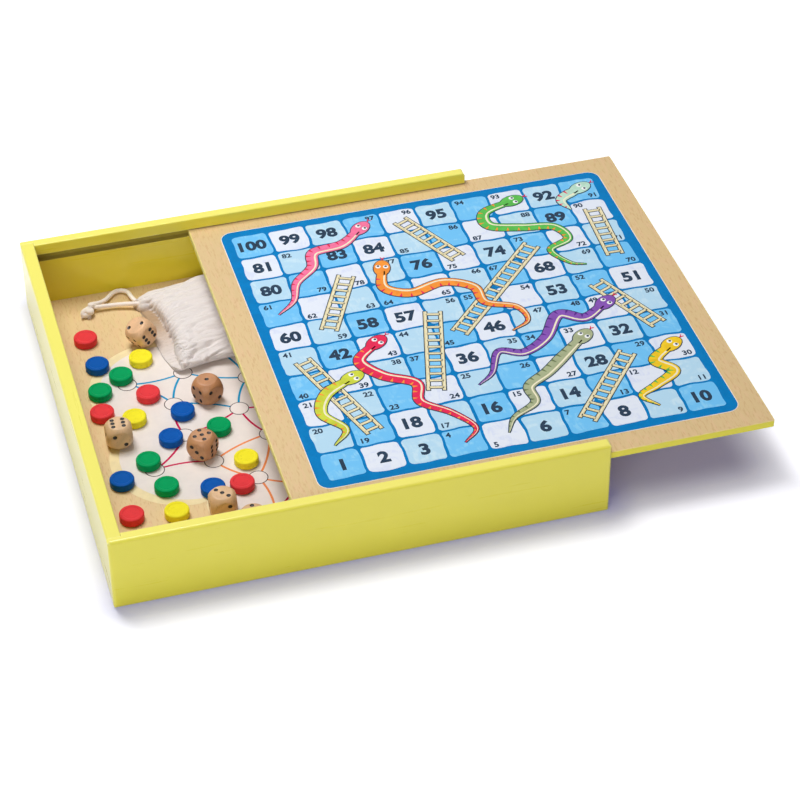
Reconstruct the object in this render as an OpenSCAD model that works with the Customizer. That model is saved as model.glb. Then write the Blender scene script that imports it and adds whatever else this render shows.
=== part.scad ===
// Games compendium box: a flat wooden case with a sliding game-board lid.
// Inside it lie wooden counters in four colours, six dice and a cotton drawstring pouch.
//
// Millimetres. The origin is the centre of the case's underside. +X runs along the
// front, the way the lid slides out; +Y points to the back; +Z is up.

/* [Case] */
// Length of the case along the lid's slide
case_w = 278; // [260:1:300]
// Depth of the case from front to back
case_d = 280; // [260:1:300]
// Height of the case
case_h = 47; // [44:1:60]
// Thickness of the front and back walls
side_t = 7; // [6.5:0.5:9]
// Thickness of the two end walls
end_t = 8; // [7:0.5:10]
// Thickness of the base panel, which is the printed floor
base_t = 4; // [3:0.5:5]
// Width of the rebate that the base panel is glued into
rebate_w = 4; // [3:0.5:4.5]
// Depth of the housing that takes each end wall
housing_d = 3; // [2:0.5:3.5]
// Rounding of the outer edges
edge_r = 1.8; // [1:0.1:2.5]
// Rounding of the inner top edges
rim_r = 0.8; // [0.4:0.1:1.2]

/* [Lid and its groove] */
// Wall left above the groove
lip_h = 7.2; // [6:0.1:9]
// Height of the groove
groove_h = 5; // [4.8:0.1:5.5]
// Depth of the groove
groove_d = 4; // [3:0.5:4.5]
// Thickness of the lid board
lid_t = 4.3; // [3.5:0.1:4.5]
// Gap between the lid and the floor of its groove
lid_lift = 0.2; // [0.1:0.05:0.25]
// Gap between the lid and the groove on either side
side_gap = 0.3; // [0.2:0.05:0.5]
// Gap between the closed lid and the blind end of its groove
end_gap = 1; // [0.5:0.1:1.5]
// How far the lid stands open
lid_open = 97; // [90:1:110]
// Corner radius of the lid
lid_corner_r = 2; // [1:0.5:4]
// Rounding of the lid's long edges
lid_edge_r = 0.5; // [0.2:0.1:0.8]

/* [Counters] */
// Diameter of a counter
counter_d = 14; // [13:0.5:14.5]
// Thickness of a counter
counter_t = 5; // [4:0.5:6]
// Rounding of a counter's rim
counter_r = 1; // [0.5:0.1:1.4]
// Width of the raised rim around the dished faces
counter_rim_w = 2.4; // [1.5:0.1:3]
// Depth of the dish in each face
dish_d = 0.3; // [0.1:0.05:0.4]

/* [Dice] */
// Edge length of a die
die_s = 15; // [14:0.5:15.5]
// Diameter of the ball that rounds a die's corners and edges
die_ball_d = 18.8; // [18:0.1:19.2]
// Distance of the outer pips from the middle lines of a face
pip_offset = 3; // [2.5:0.1:3.2]
// Radius of the ball cutter that sinks a pip
pip_ball_r = 1.5; // [1:0.05:1.6]
// Depth of a pip
pip_depth = 0.7; // [0.3:0.05:0.8]

/* [Pouch] */
// Height of the filled pouch
pouch_h = 16; // [12:1:20]
// Diameter of the drawstring
cord_d = 2.7; // [2:0.1:2.8]

/* [Hidden] */
$fn = 48;
inner_x = case_w / 2 - end_t;
inner_y = case_d / 2 - side_t;
groove_z = case_h - lip_h - groove_h;
groove_end_x = inner_x + groove_d;
groove_end_y = inner_y + groove_d;
lid_w = 2 * (groove_end_y - side_gap);
lid_l = case_w / 2 + groove_end_x - end_gap;
lid_z = groove_z + lid_lift;
lid_x = -groove_end_x + end_gap + lid_open;
cut = 1;

// Each counter's centre on the floor. The last yellow one lies behind the front wall.
RED = [[-112, 86], [-86.5, 24.5], [-115.5, 14.5], [-52, -68], [-116.5, -77]];
BLUE = [[-110, 59], [-70.5, 3.5], [-82, -18], [-116, -47], [-68.5, -67]];
GREEN = [[-98.5, 45.5], [-113, 34], [-53.5, -16], [-98.5, -34.5], [-93, -58.5]];
YELLOW = [[-84, 58.5], [-98.5, 5], [-45, -48], [-92, -81], [-92, -116]];
COUNTERS = [
    ["counter_red_", RED, [0.86, 0.18, 0.22]],
    ["counter_blue_", BLUE, [0.07, 0.27, 0.58]],
    ["counter_green_", GREEN, [0.03, 0.58, 0.32]],
    ["counter_yellow_", YELLOW, [0.97, 0.90, 0.17]],
];

// A die's own frame has one pip up, two at the front and three on the right.
// TURN names the rotation that brings another face up.
ONE_UP = [0, 0, 0];
TWO_UP = [-90, 0, 90];
THREE_UP = [0, -90, 0];
FIVE_UP = [90, 0, -90];
SIX_UP = [0, 180, 0];
rest_z = base_t + die_s / 2;
// Each die: centre, face turned up, and how it then lies. The first leans on the pouch.
leaning_z = base_t + 9.35;
DICE = [
    [[-80, 75, leaning_z], TWO_UP, [26.5, -7, -59]],
    [[-53.5, 13.5, rest_z], ONE_UP, [0, 0, 26]],
    [[-110.5, -11, rest_z], SIX_UP, [0, 0, -2]],
    [[-67, -34.5, rest_z], FIVE_UP, [0, 0, -38]],
    [[-67, -86, rest_z], THREE_UP, [0, 0, -3]],
    [[-54, -105, rest_z], THREE_UP, [0, 0, -48]],
];

// Pips as [x, y] steps on each face, which is turned up by the matching rotation.
PIPS_1 = [[0, 0]];
PIPS_2 = [[-1, 1], [1, -1]];
PIPS_3 = concat(PIPS_1, [[-1, -1], [1, 1]]);
PIPS_4 = [[-1, -1], [-1, 1], [1, -1], [1, 1]];
PIPS_5 = concat(PIPS_4, PIPS_1);
PIPS_6 = concat(PIPS_4, [[-1, 0], [1, 0]]);
FACES = [
    [PIPS_1, [0, 0, 0]],
    [PIPS_2, [90, 0, 0]],
    [PIPS_3, [90, 0, 90]],
    [PIPS_4, [90, 0, -90]],
    [PIPS_5, [90, 0, 180]],
    [PIPS_6, [180, 0, 0]],
];

// The pouch's sections along X: position, near side, far side, height above the floor.
pouch_gap = 0.02;
POUCH_SECTIONS = [
    [-77, 110, 115, 6],
    [-75, 104.5, 116, 6.5],
    [-73.5, 97, 116.5, 6],
    [-72, 62, 117, 3.2],
    [-70, 53, 117, 6.2],
    [-67, 45.5, 117.5, 0.56 * pouch_h],
    [-63.5, 41.5, 118, 0.72 * pouch_h],
    [-60, 40.2, 118.5, 0.86 * pouch_h],
    [-50, 39.5, 120.5, 0.95 * pouch_h],
    [-35, 39.5, 124.5, pouch_h],
    [-10, 40, 126, pouch_h],
    [12, 42, 125, 0.95 * pouch_h],
    [24, 46, 121, 0.8 * pouch_h],
    [31, 53, 113, 0.6 * pouch_h],
    [35, 64, 101, 0.35 * pouch_h],
];
POUCH_SIDES = 28;

// The drawstring's two ends, from the pouch's mouth to the knot. The straight one sags
// a little between them; the arc's bend comes down nearly to the floor.
ARC_ROUTE = [
    [-75.9, 113.6, 7.7], [-76.6, 115.5, 7.6], [-77.1, 117.4, 7.4], [-77.5, 119.4, 7.2],
    [-77.8, 121.4, 6.9], [-78, 123.4, 6.6], [-78.4, 125.4, 6.3], [-79.4, 127.1, 6.2],
    [-80.9, 128.4, 6.1], [-82.8, 129.1, 6], [-84.8, 129.1, 6], [-86.7, 128.4, 6],
    [-88.2, 127.2, 6.1], [-89.5, 125.7, 6.2], [-90.8, 124.2, 6.3], [-92.1, 122.7, 6.4],
    [-93.5, 121.3, 6.6], [-95.2, 120.1, 6.8], [-97.1, 119.2, 7], [-99.3, 118.6, 7.3],
    [-101.5, 118.3, 7.6],
];
STRAIGHT_ROUTE = [
    [-71, 108.6, 8.3], [-72.9, 109.4, 8.2], [-74.8, 110.2, 8.1], [-76.7, 110.9, 8],
    [-78.6, 111.6, 7.8], [-80.5, 112.3, 7.6], [-82.4, 112.9, 7.4], [-84.3, 113.4, 7.2],
    [-86.2, 113.9, 7.1], [-88.1, 114.3, 7], [-90, 114.6, 6.9], [-91.9, 114.8, 6.9],
    [-93.8, 114.9, 6.9], [-95.7, 115, 7], [-97.6, 115, 7.1], [-99.5, 115, 7.3],
    [-101.5, 115, 7.6],
];
CORD_SIDES = 8;
KNOT_BALLS = [[-102.8, 116.4, 7.5, 3], [-106.2, 112.4, 7.3, 3.2]];
KNOT_TAILS = [[[-106.7, 111.9], 205], [[-105.6, 110.6], 262]];
tail_l = 4.2;
CASE_NODES = ["front_wall", "back_wall", "left_end_wall", "right_end_wall", "base_panel"];
POUCH_NODES = ["pouch", "drawstring_arc", "drawstring_straight", "drawstring_knot"];

YELLOW_PAINT = [0.93, 0.88, 0.42];
BEECH = [0.87, 0.74, 0.55];
COTTON = [0.95, 0.94, 0.92];

// ---- shared shapes ----

// A rectangle from the origin with all four corners rounded.
module rounded_rect(w, d, r) {
    translate([r, 0]) square([w - 2 * r, d]);
    translate([0, r]) square([w, d - 2 * r]);
    for (x = [r, w - r], y = [r, d - r]) translate([x, y]) circle(r);
}

// A wall's section: outer face at x = 0, outer corners and inner top corner rounded.
module wall_section(t, h) {
    translate([edge_r, 0]) square([t - edge_r, h - edge_r]);
    translate([0, edge_r]) square([t - rim_r, h - 2 * edge_r]);
    translate([edge_r, edge_r]) square([t - edge_r - rim_r, h - edge_r]);
    translate([t - rim_r, h - rim_r]) circle(rim_r);
    translate([t - 2 * rim_r, h - 2 * edge_r]) square([2 * rim_r, 2 * edge_r - rim_r]);
    for (y = [edge_r, h - edge_r]) translate([edge_r, y]) circle(edge_r);
}

// A straight bar along X between two ends, with a section drawn in Y and Z.
module bar_x(x0, x1) {
    translate([x0, 0, 0]) rotate([90, 0, 90]) linear_extrude(x1 - x0) children();
}

// A block with rounded corners in plan and rounded edges along X and Y.
module eased_block(w, d, h, corner_r, side_r) {
    intersection() {
        linear_extrude(h) rounded_rect(w, d, corner_r);
        translate([0, d, 0]) rotate([90, 0, 0]) linear_extrude(d) rounded_rect(w, h, side_r);
        bar_x(0, w) rounded_rect(d, h, side_r);
    }
}

// ---- case ----

// The front wall, with the lid groove, the base rebate and the end-wall housings.
module long_wall() {
    difference() {
        intersection() {
            translate([0, -case_d / 2, 0])
                bar_x(-case_w / 2, case_w / 2) wall_section(side_t, case_h);
            translate([-case_w / 2, -case_d / 2, 0])
                eased_block(case_w, case_d, case_h, edge_r, edge_r);
        }
        // Lid groove, blind at the left and open at the right
        translate([-groove_end_x, -groove_end_y, groove_z])
            cube([case_w + cut, groove_d + cut, groove_h]);
        // Rebate for the base panel
        translate([-inner_x - rebate_w, -inner_y - rebate_w, -cut])
            cube([2 * (inner_x + rebate_w), rebate_w + cut, base_t + cut]);
        // Housing for the full-height left end wall
        translate([-case_w / 2 - cut, -inner_y - housing_d, -cut])
            cube([end_t + cut, housing_d + cut, case_h + 2 * cut]);
        // Housing for the lower right end wall
        translate([inner_x, -inner_y - housing_d, -cut])
            cube([end_t + cut, housing_d + cut, groove_z + cut]);
    }
}

module front_wall() {
    color(YELLOW_PAINT) long_wall();
}

module back_wall() {
    color(YELLOW_PAINT) mirror([0, 1, 0]) long_wall();
}

// An end wall's length reaches into the housings of both long walls.
module end_bar() {
    half_l = inner_y + housing_d;
    translate([-case_w / 2, half_l, 0]) rotate([90, 0, 0]) linear_extrude(2 * half_l) children();
}

module left_end_wall() {
    half_l = inner_y + housing_d;
    color(YELLOW_PAINT) difference() {
        end_bar() wall_section(end_t, case_h);
        // Groove that the front edge of the closed lid enters
        translate([-groove_end_x, -half_l - cut, groove_z])
            cube([groove_d + cut, 2 * (half_l + cut), groove_h]);
        translate([-inner_x - rebate_w, -half_l - cut, -cut])
            cube([rebate_w + cut, 2 * (half_l + cut), base_t + cut]);
    }
}

// The right end wall is lower, so that the lid passes over it.
module right_end_wall() {
    half_l = inner_y + housing_d;
    color(YELLOW_PAINT) mirror([1, 0, 0]) difference() {
        end_bar() {
            translate([edge_r, 0]) square([end_t - edge_r, groove_z]);
            translate([0, edge_r]) square([end_t, groove_z - edge_r]);
            translate([edge_r, edge_r]) circle(edge_r);
        }
        translate([-inner_x - rebate_w, -half_l - cut, -cut])
            cube([rebate_w + cut, 2 * (half_l + cut), base_t + cut]);
    }
}

module base_panel() {
    panel_w = 2 * (inner_x + rebate_w);
    panel_d = 2 * (inner_y + rebate_w);
    color(BEECH) translate([-panel_w / 2, -panel_d / 2, 0]) cube([panel_w, panel_d, base_t]);
}

module lid_panel() {
    color(BEECH) translate([lid_x, -lid_w / 2, lid_z])
        eased_block(lid_l, lid_w, lid_t, lid_corner_r, lid_edge_r);
}

// ---- counters ----

// Half of a counter's section, with a rounded rim and a shallow dish in both faces.
module counter_section() {
    r = counter_d / 2;
    dish_r = r - counter_rim_w;
    slope = 2 * dish_d;
    difference() {
        union() {
            square([r - counter_r, counter_t]);
            translate([0, counter_r]) square([r, counter_t - 2 * counter_r]);
            for (z = [counter_r, counter_t - counter_r]) translate([r - counter_r, z]) circle(counter_r);
        }
        translate([-cut, 0]) square([cut, counter_t]);
        for (side = [0, 1])
            translate([0, side * counter_t]) mirror([0, side])
                polygon([[-cut, -cut], [dish_r + slope, -cut], [dish_r + slope, 0], [dish_r, dish_d], [-cut, dish_d]]);
    }
}

module counter(position, paint) {
    color(paint) translate([position[0], position[1], base_t])
        rotate_extrude() counter_section();
}

// ---- dice ----

module die_face_pips(pips) {
    for (p = pips)
        translate([p[0] * pip_offset, p[1] * pip_offset, die_s / 2 + pip_ball_r - pip_depth])
            sphere(pip_ball_r);
}

// A cube whose corners and edges are turned off by a ball, with sunk pips.
// Opposite faces add up to seven.
module die() {
    difference() {
        intersection() {
            cube(die_s, center = true);
            sphere(d = die_ball_d);
        }
        for (face = FACES) rotate(face[1]) die_face_pips(face[0]);
    }
}

module placed_die(place) {
    color(BEECH) translate(place[0]) rotate(place[2]) rotate(place[1]) die();
}

// ---- pouch and drawstring ----

// Joins rings of equal length into one closed solid.
module skin(rings) {
    n = len(rings[0]);
    last = len(rings) - 1;
    points = [for (ring = rings, p = ring) p];
    walls = [for (i = [0:last - 1], j = [0:n - 1])
        let (a = i * n + j, b = i * n + (j + 1) % n)
        each [[a, b, b + n], [a, b + n, a + n]]];
    caps = [for (j = [1:n - 2]) each [[0, j + 1, j], [last * n, last * n + j, last * n + j + 1]]];
    polyhedron(points = points, faces = concat(walls, caps));
}

// One section of the pouch: nearly flat underneath and crowned on top.
function bulge(v) = sign(v) * pow(abs(v), 0.7);
function pouch_ring(s) = let (
    middle = (s[1] + s[2]) / 2,
    half = (s[2] - s[1]) / 2
) [for (j = [0:POUCH_SIDES - 1]) let (
    turn = 360 * (j + 0.5) / POUCH_SIDES,
    rise = (bulge(sin(turn)) + 0.6) / 1.6
) [s[0], middle + half * bulge(cos(turn)), base_t + pouch_gap + s[3] * max(rise, 0.01 * (1 - cos(turn)))]];

module pouch() {
    color(COTTON) skin([for (s = POUCH_SECTIONS) pouch_ring(s)]);
}

// The direction of a route at one of its points.
function unit(v) = v / norm(v);
function heading(route, i) =
    unit(route[min(i + 1, len(route) - 1)] - route[max(i - 1, 0)]);

// A round tube swept along a route.
function cord_ring(route, i) = let (
    ahead = heading(route, i),
    side = unit(cross([0, 0, 1], ahead)),
    up = cross(ahead, side)
) [for (j = [0:CORD_SIDES - 1]) let (turn = 360 * j / CORD_SIDES)
    route[i] + cord_d / 2 * (cos(turn) * side + sin(turn) * up)];

module cord(route) {
    color(COTTON) skin([for (i = [0:len(route) - 1]) cord_ring(route, i)]);
}

module drawstring_arc() {
    cord(ARC_ROUTE);
}

module drawstring_straight() {
    cord(STRAIGHT_ROUTE);
}

// Both ends of the drawstring meet in one overhand knot with two short tails.
module drawstring_knot() {
    color(COTTON) {
        for (b = KNOT_BALLS) translate([b[0], b[1], b[2]]) sphere(b[3]);
        for (t = KNOT_TAILS)
            translate([t[0][0], t[0][1], base_t + cord_d / 2 + pouch_gap])
                rotate([0, 90, t[1]]) cylinder(d = cord_d, h = tail_l);
    }
}

// ---- the object ----

front_wall();
back_wall();
left_end_wall();
right_end_wall();
base_panel();
lid_panel();
for (set = COUNTERS, i = [0:len(set[1]) - 1])
    counter(set[1][i], set[2]);
for (i = [0:len(DICE) - 1])
    placed_die(DICE[i]);
pouch();
drawstring_arc();
drawstring_straight();
drawstring_knot();
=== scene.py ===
"""The looks of the games compendium box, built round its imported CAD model.

The frame is the CAD's own: +X is the way the lid slides out, +Y is the back and +Z is up.
Blender works in metres. Sizes are written here in millimetres and multiplied by MM.
"""

import math
import random

import bpy
from mathutils import Euler, Matrix, Vector, noise


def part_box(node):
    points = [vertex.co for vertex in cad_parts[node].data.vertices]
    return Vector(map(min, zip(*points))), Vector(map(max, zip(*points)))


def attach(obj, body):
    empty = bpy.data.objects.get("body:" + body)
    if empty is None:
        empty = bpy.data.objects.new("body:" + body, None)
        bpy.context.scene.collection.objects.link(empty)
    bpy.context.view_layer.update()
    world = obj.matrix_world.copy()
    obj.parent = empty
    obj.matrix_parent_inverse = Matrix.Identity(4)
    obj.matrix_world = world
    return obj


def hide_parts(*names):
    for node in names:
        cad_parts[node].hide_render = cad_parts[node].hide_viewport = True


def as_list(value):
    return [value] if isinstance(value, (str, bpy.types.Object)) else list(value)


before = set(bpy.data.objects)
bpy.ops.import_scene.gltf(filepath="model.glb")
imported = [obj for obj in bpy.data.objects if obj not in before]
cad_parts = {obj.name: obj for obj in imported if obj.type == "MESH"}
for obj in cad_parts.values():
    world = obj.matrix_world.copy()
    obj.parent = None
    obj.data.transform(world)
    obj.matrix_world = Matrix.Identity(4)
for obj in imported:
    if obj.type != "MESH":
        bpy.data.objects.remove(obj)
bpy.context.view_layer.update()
MM = 0.001

# ---- the camera: the photograph's viewing angle ----
CAMERA_TURN = math.radians(-15.62)
CAMERA_TILT = math.radians(39.275)
CAMERA_ROLL = math.radians(-0.528)
CAMERA_TARGET = Vector((48.1, -37.8, 20)) * MM
CAMERA_DISTANCE = 1457.7 * MM
CAMERA_LENS, CAMERA_SENSOR = 114.87, 36  # mm
CAMERA_CLIP = (0.05, 20)

# ---- light and floor, in metres and watts ----
WHITE = (1, 1, 1, 1)
SKY_STRENGTH = 0.15
LAMP_PLACE, LAMP_SIZE, LAMP_POWER = (-0.2, 0.32, 1.12), (0.36, 0.7), 11.5
FILL_PLACE, FILL_SIZE, FILL_POWER = (-0.88, -1.75, 0.95), (1.3, 0.7), 12.8
FLOOR_HALF, FLOOR_Z = 4, -0.05 * MM
# The floor's tones near the box, darker than far away: a painted shadow.
FLOOR_SHADOW_TONES = [(0.70, 0.70, 0.74, 1), (0.72, 0.72, 0.76, 1)]
FLOOR_FAR_TONE = (0.92, 0.92, 0.95, 1)
# The outline round which the floor's painted shadow lies, and how much it is drawn in under the
# lid.
FLOOR_UNDER_X, FLOOR_UNDER_Y, FLOOR_UNDER_LID = (-0.131, 0.217), (-0.131, 0.136), 0.014
FLOOR_LID_BEGINS, FLOOR_FRONT_BEGINS = (0.13, 0.165), (-0.1, -0.135)  # along X, along Y
FLOOR_SHADOW_REACH = 0.042  # how far from the outline the floor has its far tone
FLOOR_BACKDROP = (0.2, 0.7)  # where the white of the background begins and is reached
# What the camera sees on top of the floor's own shade: a painted bluish tint in the shadow near
# the box, a stronger one in the shadow in front of it, and far away a lift to white.
FLOOR_SHADOW_TINT, FLOOR_FRONT_SHADOW_TINT = (0.0, 0.005, 0.08, 1), (0.0, 0.005, 0.18, 1)
FLOOR_FAR_LIFT = (0.45, 0.45, 0.5, 1)

# ---- the drawstring: the same routes as in the CAD source ----
CORD_D = 2.7 * MM
CORD_PITCH = 4.2 * MM  # the length of one turn of the twist
ARC_ROUTE = [
    (-75.9, 113.6, 7.7), (-76.6, 115.5, 7.6), (-77.1, 117.4, 7.4), (-77.5, 119.4, 7.2),
    (-77.8, 121.4, 6.9), (-78, 123.4, 6.6), (-78.4, 125.4, 6.3), (-79.4, 127.1, 6.2),
    (-80.9, 128.4, 6.1), (-82.8, 129.1, 6), (-84.8, 129.1, 6), (-86.7, 128.4, 6),
    (-88.2, 127.2, 6.1), (-89.5, 125.7, 6.2), (-90.8, 124.2, 6.3), (-92.1, 122.7, 6.4),
    (-93.5, 121.3, 6.6), (-95.2, 120.1, 6.8), (-97.1, 119.2, 7), (-99.3, 118.6, 7.3),
    (-101.5, 118.3, 7.6),
]
STRAIGHT_ROUTE = [
    (-71, 108.6, 8.3), (-72.9, 109.4, 8.2), (-74.8, 110.2, 8.1), (-76.7, 110.9, 8),
    (-78.6, 111.6, 7.8), (-80.5, 112.3, 7.6), (-82.4, 112.9, 7.4), (-84.3, 113.4, 7.2),
    (-86.2, 113.9, 7.1), (-88.1, 114.3, 7), (-90, 114.6, 6.9), (-91.9, 114.8, 6.9),
    (-93.8, 114.9, 6.9), (-95.7, 115, 7), (-97.6, 115, 7.1), (-99.5, 115, 7.3),
    (-101.5, 115, 7.6),
]
# The knot's wraps: centre, radius of the loop, radius of the cord there, and how it leans.
KNOT_WRAPS = [
    ((-102.3, 116.2, 8.0), 1.0, 1.7, (0.4, 0.5)),
    ((-104.7, 112.1, 7.6), 1.7, 1.75, (-0.6, 1.5)),
    ((-107.0, 111.2, 7.1), 1.6, 1.75, (0.5, -1.3)),
]
WRAP_POINTS = 20
# Its tails: where each begins, its bearing in degrees, and its length.
KNOT_TAILS = [((-107.6, 110.8), 215, 0.3), ((-105.2, 110.2), 255, 0.2)]
TAIL_Z, TAIL_DROP, TAIL_R = 6.2, 0.7, 1.25
FRAY_THREADS, FRAY_R, FRAY_PITCH, FRAY_LENGTH = 26, 0.16, 2, (1.2, 2.2)
FRAY_LOWEST = 4.3

# ---- the dice: how each one lies, as in the CAD source ----
DIE_S = 15
DIE_BALL_D = 18.8
PIP_OFFSET = 3
PIP_BALL_R = 1.5
PIP_DEPTH = 0.7
ONE_UP, TWO_UP, THREE_UP = (0, 0, 0), (-90, 0, 90), (0, -90, 0)
FIVE_UP, SIX_UP = (90, 0, -90), (0, 180, 0)
DICE = {
    "die_1": (TWO_UP, (26.5, -7, -59)),
    "die_2": (ONE_UP, (0, 0, 26)),
    "die_3": (SIX_UP, (0, 0, -2)),
    "die_4": (FIVE_UP, (0, 0, -38)),
    "die_5": (THREE_UP, (0, 0, -3)),
    "die_6": (THREE_UP, (0, 0, -48)),
}
DIE_TONES = [
    (236, 190, 146), (196, 138, 94), (232, 194, 152), (202, 146, 102), (232, 190, 146),
    (228, 184, 138),
]
DIE_GRID = 48  # steps across a face
DIE_BLEND = 60  # the higher, the sharper the line between the flat faces and the ball
PIP_RIM_R = math.sqrt(PIP_BALL_R ** 2 - (PIP_BALL_R - PIP_DEPTH) ** 2)
MIDDLE, FALL, RISE, SIDES = [(0, 0)], [(-1, 1), (1, -1)], [(-1, -1), (1, 1)], [(-1, 0), (1, 0)]
PIPS = {1: MIDDLE, 2: FALL, 3: MIDDLE + RISE, 4: FALL + RISE, 5: MIDDLE + FALL + RISE,
        6: FALL + RISE + SIDES}
# The rotation that carries a face from the top of the die to where it is, as in the source.
FACES = {1: (0, 0, 0), 2: (90, 0, 0), 3: (90, 0, 90), 4: (90, 0, -90), 5: (90, 0, 180),
         6: (180, 0, 0)}

# ---- the lid's groove in the walls, as in the CAD source ----
INNER_X, INNER_Y, GROOVE_D = 131, 133, 4
GROOVE_Z = (34.8, 39.8)

# ---- the printed lid ----
BOARD_CELLS = 10
BOARD_MARGIN = {"left": 17, "right": 14.4, "front": 14.7, "back": 13.7}
BOARD_BORDER = 5.2
BOARD_CORNER_R = 7
BOARD_RIM = 0.45
CELL_GAP, CELL_CORNER_R, CELL_WOBBLE = 1.7, 2.4, 1.1
INK_T = 0.04  # thickness of one layer of ink
OUTLINE = 0.55  # width of the dark line round snakes and ladders
NAVY = (42, 62, 84)
TINTS = {
    "red": (232, 48, 88), "rose": (244, 120, 160), "leaf": (96, 190, 84),
    "orange": (248, 150, 60), "violet": (136, 86, 180), "plum": (92, 48, 140),
    "mint": (190, 226, 206), "lime": (206, 214, 70), "sand": (170, 178, 140),
    "olive": (110, 124, 84), "yellow": (250, 206, 44),
}
DIGIT_HEIGHT = 0.70  # a digit's height in the built-in letterforms, at size 1
BIG_DIGIT, BIG_BOLD, SMALL_DIGIT, SMALL_BOLD = 8.6, 0.065, 3.9, 0.05
LADDER_GAP = 9.0  # from rail to rail
LADDER_RAIL_W = 1.9
LADDER_RUNG_W = 0.85 * LADDER_RAIL_W
LADDER_RUNG_STEP, LADDER_END = 6.4, 2.6
SNAKE_LENGTH_STEPS = 10
SNAKE_WIDTH = 7.4
SNAKE_HEAD = (7.6, 4.9)  # half its length and width
# Ladders and snakes as [column, row] in cells from the front left corner of the grid.
LADDERS = [
    ((6.55, 0.45), (8.35, 2.6)), ((1.55, 1.45), (0.55, 4.5)), ((3.4, 2.5), (4.2, 5.5)),
    ((9.5, 3.45), (8.55, 5.5)), ((4.6, 4.5), (7.5, 7.5)), ((1.5, 5.5), (2.5, 7.55)),
    ((5.5, 7.5), (4.5, 9.5)), ((9.45, 6.5), (9.55, 8.6)),
]
SNAKES = [
    ("rose", "red", [(3.35, 9.4), (2.75, 8.9), (1.95, 8.75), (1.75, 8.15), (1.2, 7.6),
                     (0.95, 6.9), (0.45, 6.45)]),
    ("leaf", "orange", [(7.55, 9.5), (6.75, 9.2), (6.7, 8.6), (7.5, 8.3), (8.3, 8.1),
                        (8.5, 7.5), (7.9, 7.15), (8.2, 6.5), (8.6, 6.3)]),
    ("orange", "red", [(3.45, 7.55), (3.3, 6.8), (3.9, 6.4), (4.8, 6.6), (5.5, 6.2),
                       (5.6, 5.5), (6.3, 5.1), (6.4, 4.5), (5.9, 4.2)]),
    ("violet", "plum", [(8.45, 4.6), (7.8, 4.2), (7.2, 4.5), (6.6, 3.7), (5.9, 3.3),
                        (5.3, 3.5), (4.9, 2.75), (4.45, 2.4)]),
    ("mint", "red", [(9.5, 9.55), (8.9, 9.2), (9.0, 8.7)]),
    ("red", "orange", [(2.45, 4.65), (1.9, 4.1), (2.3, 3.4), (3.0, 2.9), (2.9, 2.2),
                       (3.5, 1.6), (3.9, 0.9), (3.5, 0.45)]),
    ("lime", "orange", [(1.5, 3.5), (0.8, 3.1), (0.5, 2.4), (0.9, 1.7), (0.5, 1.2)]),
    ("sand", "olive", [(7.45, 3.45), (6.8, 2.9), (6.2, 2.4), (5.6, 2.0), (5.55, 1.4),
                       (4.9, 1.0), (4.6, 0.5)]),
    ("yellow", "leaf", [(9.45, 2.55), (8.9, 2.1), (9.2, 1.6), (8.6, 1.2), (8.1, 0.9),
                        (8.4, 0.45)]),
]

# ---- the printed floor ----
FLOOR_SPOT_R = 5.7
FLOOR_LINE_W = 1.3
FLOOR_RINGS = [(38, 8), (75, 16), (104, 8)]  # radius and number of spots
PETALS, PETAL_SHAPE = 8, 0.7
FIELD_R = 109
FIELD_WAVE = 11
FIELD_RIM = 6
SPOT_OUTLINE = 0.5
LINE_INKS = {"crimson": (204, 30, 84), "cyan": (24, 152, 200), "teal": (0, 96, 92),
             "orange": (238, 142, 84), "green": (0, 132, 78)}
# The colour of the lines in each tenth of a turn, from +X counterclockwise.
LINE_SECTORS = ["orange", "teal", "green", "cyan", "cyan", "crimson", "orange", "crimson",
                "teal", "green"]

# ---- paint and wood ----
COUNTERS = {"red": (232, 64, 70), "blue": (12, 88, 176), "green": (0, 158, 92),
            "yellow": (250, 236, 50)}
FIBRE = (900, 45, 900)  # noise per metre across, along and across the lid's and floor's grain

random.seed(7)
noise.seed_set(7)


# ---- colours and shader nodes ----

def srgb(red, green, blue):
    """A colour as a screen shows it, 0 to 255, in the linear values that a shader takes."""
    def linear(value):
        value /= 255
        return value / 12.92 if value <= 0.04045 else ((value + 0.055) / 1.055) ** 2.4
    return (linear(red), linear(green), linear(blue), 1)


def shade(colour, factor):
    return tuple(min(1, c * factor) for c in colour[:3]) + (1,)


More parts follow.
